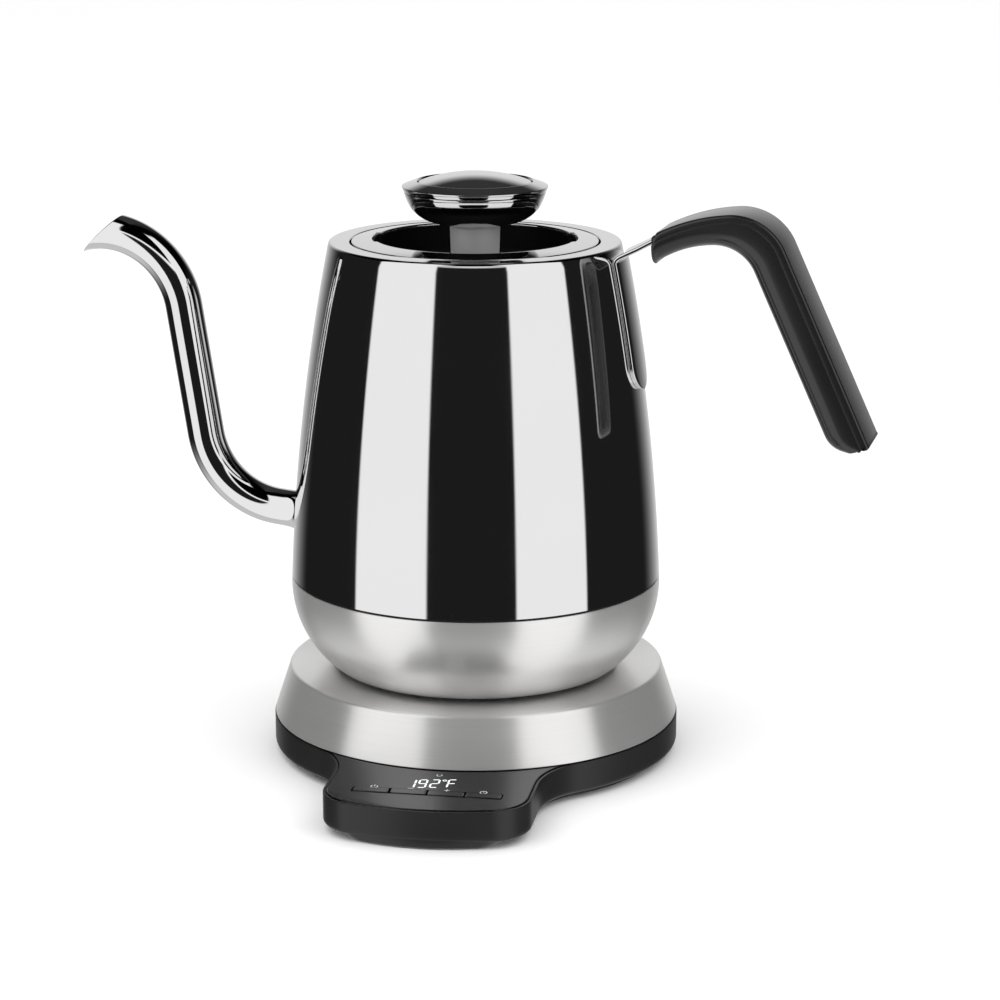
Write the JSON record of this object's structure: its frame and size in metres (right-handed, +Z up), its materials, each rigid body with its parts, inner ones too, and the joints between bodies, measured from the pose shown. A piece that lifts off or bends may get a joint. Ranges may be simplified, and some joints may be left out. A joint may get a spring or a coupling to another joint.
{
  "type": "gooseneck kettle",
  "caption": "Electric gooseneck kettle with a tapered polished body, slim curved spout, open black grip and recessed knob lid, standing on a round heating base with a front control pod.",
  "frame": {"origin": "on the table, on the kettle's upright axis, at the middle foot under the base", "axes": "+Z up along the kettle's axis; -Y towards the control pod at the front; +X to the right, the side the handle stands on; the kettle rests turned 5.5 degrees clockwise seen from above"},
  "size_m": [0.2896, 0.1868, 0.2084],
  "materials": {
    "polished_steel": "mirror polished",
    "brushed_steel": "brushed",
    "inner_steel": "satin",
    "grey_metal": "satin",
    "grip_black": "soft touch",
    "base_black": "fine grain",
    "gloss_black": "high gloss",
    "well_black": "satin gloss",
    "seal_rubber": "matte",
    "spreader_alloy": "as cast",
    "element_sheath": "heat darkened",
    "contact_brass": "bright",
    "screw_steel": "zinc plated",
    "board_green": "solder mask",
    "part_plastic": "moulded"
  },
  "bodies": {
    "base": {"base_chassis": "base_black", "base_cover": "brushed_steel", "base_floor_plate": "base_black", "base_feet": "seal_rubber", "floor_plate_screws": "screw_steel", "screw_bosses": "screw_steel", "control_fascia": "gloss_black", "display_module": "gloss_black", "control_board": "board_green", "tact_switches": "part_plastic", "power_board": "board_green", "transformer": "part_plastic", "power_relay": "part_plastic", "buzzer": "part_plastic", "terminal_block": "base_black", "connector_tower": "base_black", "tower_contacts": "contact_brass", "cord_gland": "seal_rubber", "cord_clamp": "base_black", "cord_clamp_screws": "screw_steel"},
    "socket": {"kettle_socket": "base_black", "socket_pin": "contact_brass"},
    "kettle": {"body_shell": "polished_steel", "mouth_collar": "polished_steel", "seam_ring": "seal_rubber", "lower_band": "brushed_steel", "vessel_floor": "inner_steel", "heat_spreader": "spreader_alloy", "heating_element": "element_sheath", "thermostat": "part_plastic", "temperature_probe": "screw_steel", "bottom_cover": "base_black", "cover_posts": "screw_steel", "bottom_cover_screws": "screw_steel", "gooseneck_spout": "polished_steel", "spout_strainer": "inner_steel", "handle_strap": "polished_steel", "grip_back": "grip_black", "grip_front": "grip_black"},
    "lid": {"lid_flange": "polished_steel", "lid_well": "well_black", "lid_plate": "inner_steel", "lid_skirt": "inner_steel", "lid_gasket": "seal_rubber", "knob_post": "grey_metal", "knob_bowl": "polished_steel", "knob_rim": "polished_steel", "knob_cap": "polished_steel", "knob_core": "part_plastic", "knob_screw": "screw_steel"},
    "power_key": {"key_power": "gloss_black"},
    "minus_key": {"key_minus": "gloss_black"},
    "plus_key": {"key_plus": "gloss_black"},
    "hold_key": {"key_hold": "gloss_black"}
  },
  "joints": [
    {"name": "kettle_lift", "type": "slide", "parent": "base", "child": "socket", "axis": [0, 0, 1], "range_m": [0, 0.08]},
    {"name": "kettle_turn", "type": "hinge", "parent": "socket", "child": "kettle", "pos_m": [0, 0, 0.04], "axis": [0, 0, 1], "continuous": true},
    {"name": "lid_lift", "type": "slide", "parent": "kettle", "child": "lid", "axis": [0, 0, 1], "range_m": [0, 0.06]},
    {"name": "power_key_press", "type": "slide", "parent": "base", "child": "power_key", "axis": [0, 0, -1], "range_m": [0, 0.0006], "stiffness_N_per_m": 2500},
    {"name": "minus_key_press", "type": "slide", "parent": "base", "child": "minus_key", "axis": [0, 0, -1], "range_m": [0, 0.0006], "stiffness_N_per_m": 2500},
    {"name": "plus_key_press", "type": "slide", "parent": "base", "child": "plus_key", "axis": [0, 0, -1], "range_m": [0, 0.0006], "stiffness_N_per_m": 2500},
    {"name": "hold_key_press", "type": "slide", "parent": "base", "child": "hold_key", "axis": [0, 0, -1], "range_m": [0, 0.0006], "stiffness_N_per_m": 2500}
  ]
}
